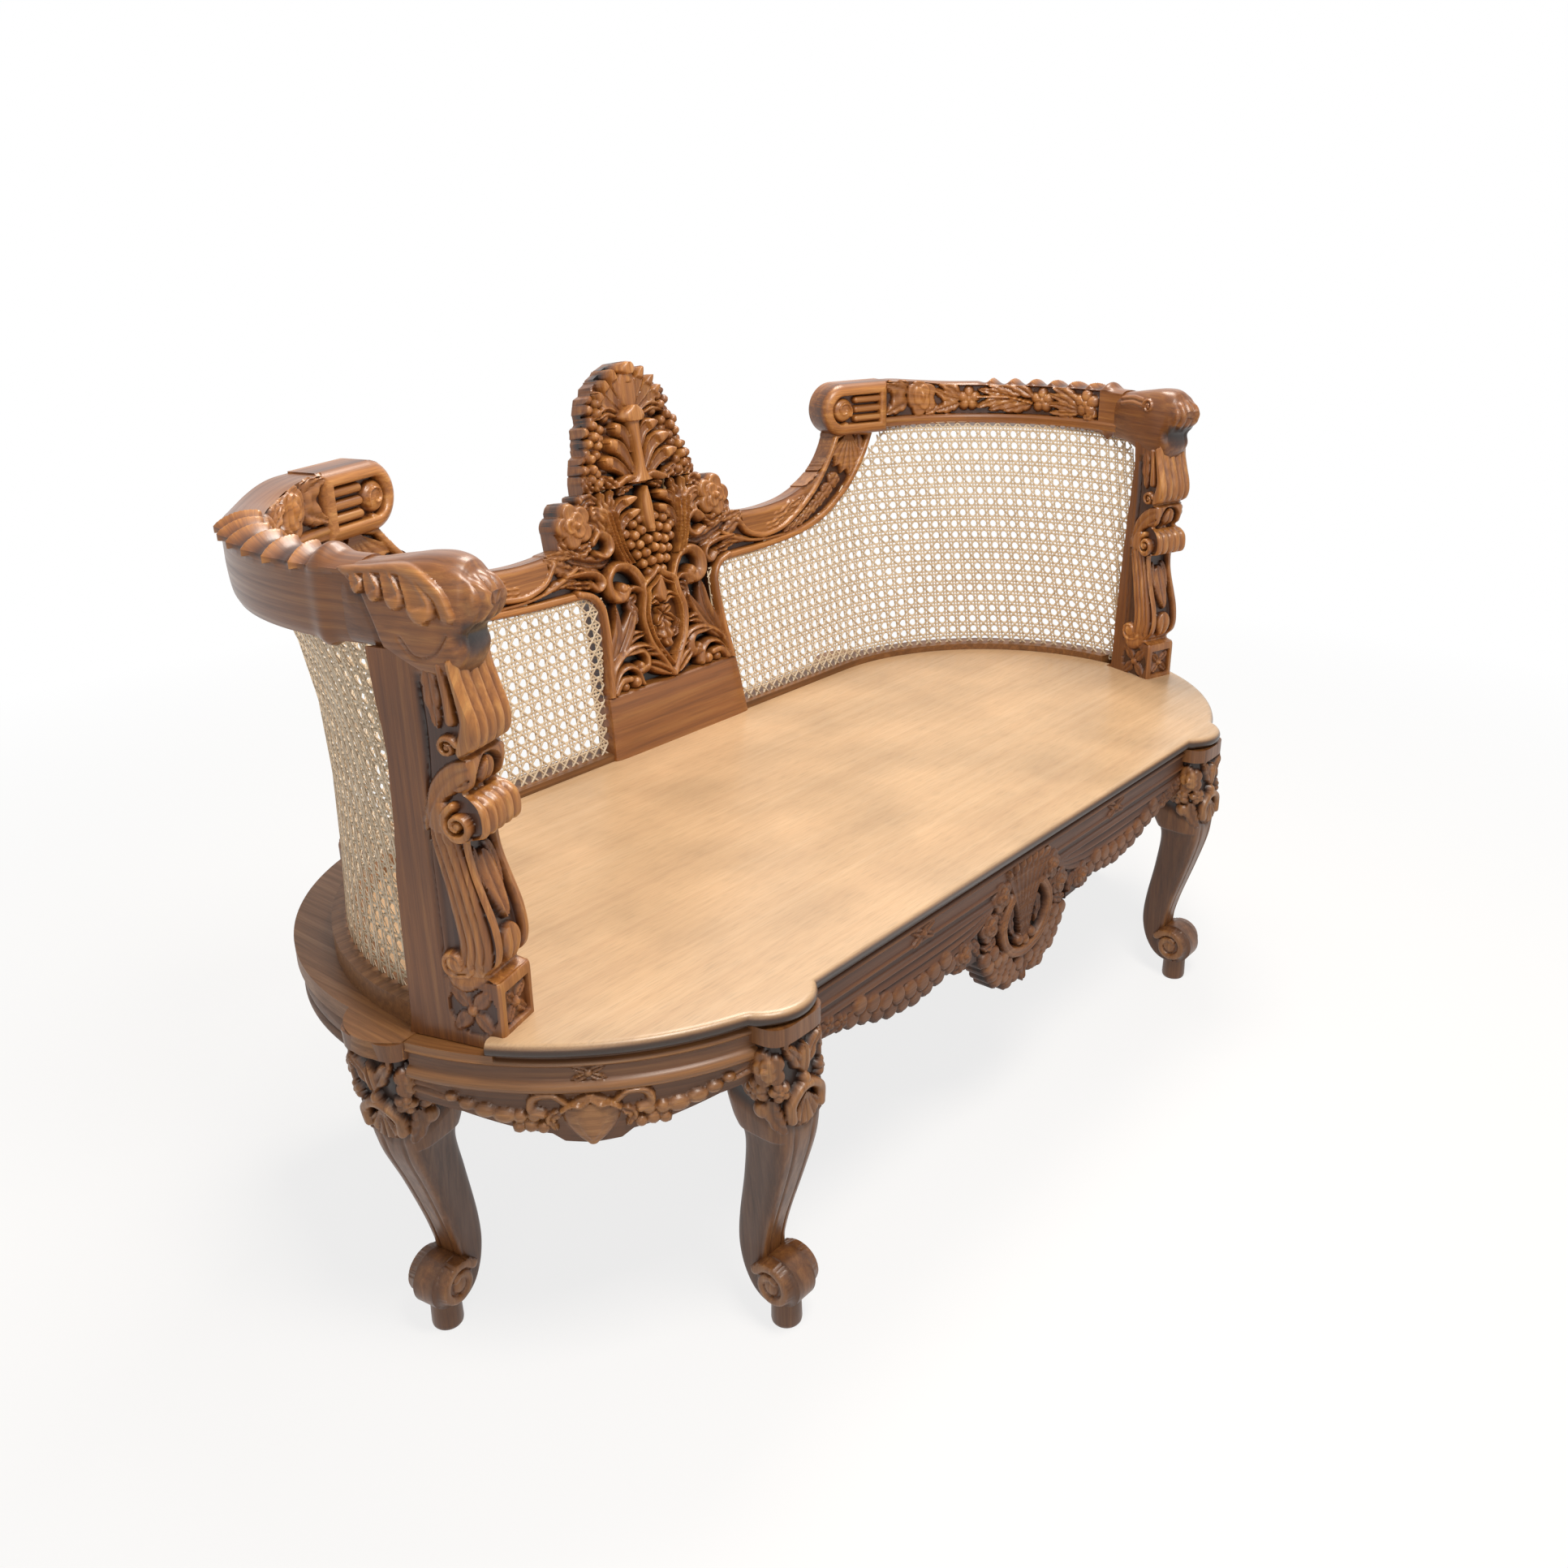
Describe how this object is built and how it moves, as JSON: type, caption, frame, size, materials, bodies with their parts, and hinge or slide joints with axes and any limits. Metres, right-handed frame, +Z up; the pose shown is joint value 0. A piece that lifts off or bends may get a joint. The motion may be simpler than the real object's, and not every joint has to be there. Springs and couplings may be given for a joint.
{
  "type": "loveseat",
  "caption": "Carved teak loveseat with a caned tub back, a tall carved splat, scrolled top rails and arms, a plain plank seat and cabriole legs with scroll feet.",
  "frame": {"origin": "on the floor under the middle of the settee's overall plan", "axes": "+X along the seat towards the sitter's left hand, -Y to the front, +Z up"},
  "size_m": [1.5682, 0.7539, 0.951],
  "materials": {
    "teak": "satin varnish",
    "seat_plank": "pale matt oiled plank",
    "cane": "natural split rattan cane",
    "dowel_wood": "plain sanded",
    "screw_steel": "zinc plated"
  },
  "bodies": {
    "root": {"back_dowels": "dowel_wood", "back_ledge": "teak", "back_rail": "teak", "corner_blocks": "teak", "frame_dowels": "dowel_wood", "front_left_leg": "teak", "front_rail": "teak", "front_right_leg": "teak", "left_arm_knuckle": "teak", "left_arm_post": "teak", "left_cane_panel": "cane", "left_cane_sill": "teak", "left_dip_rail": "teak", "left_end_leg": "teak", "left_front_corner_rail": "teak", "left_ledge": "teak", "left_rear_corner_rail": "teak", "left_top_rail": "teak", "left_volute": "teak", "rear_left_leg": "teak", "rear_right_leg": "teak", "right_arm_knuckle": "teak", "right_arm_post": "teak", "right_cane_panel": "cane", "right_cane_sill": "teak", "right_dip_rail": "teak", "right_end_leg": "teak", "right_front_corner_rail": "teak", "right_ledge": "teak", "right_rear_corner_rail": "teak", "right_top_rail": "teak", "right_volute": "teak", "seat_battens": "teak", "seat_board": "seat_plank", "seat_screws": "screw_steel", "splat_crest": "teak", "splat_panel": "teak", "splat_shoe": "teak"}
  },
  "joints": []
}
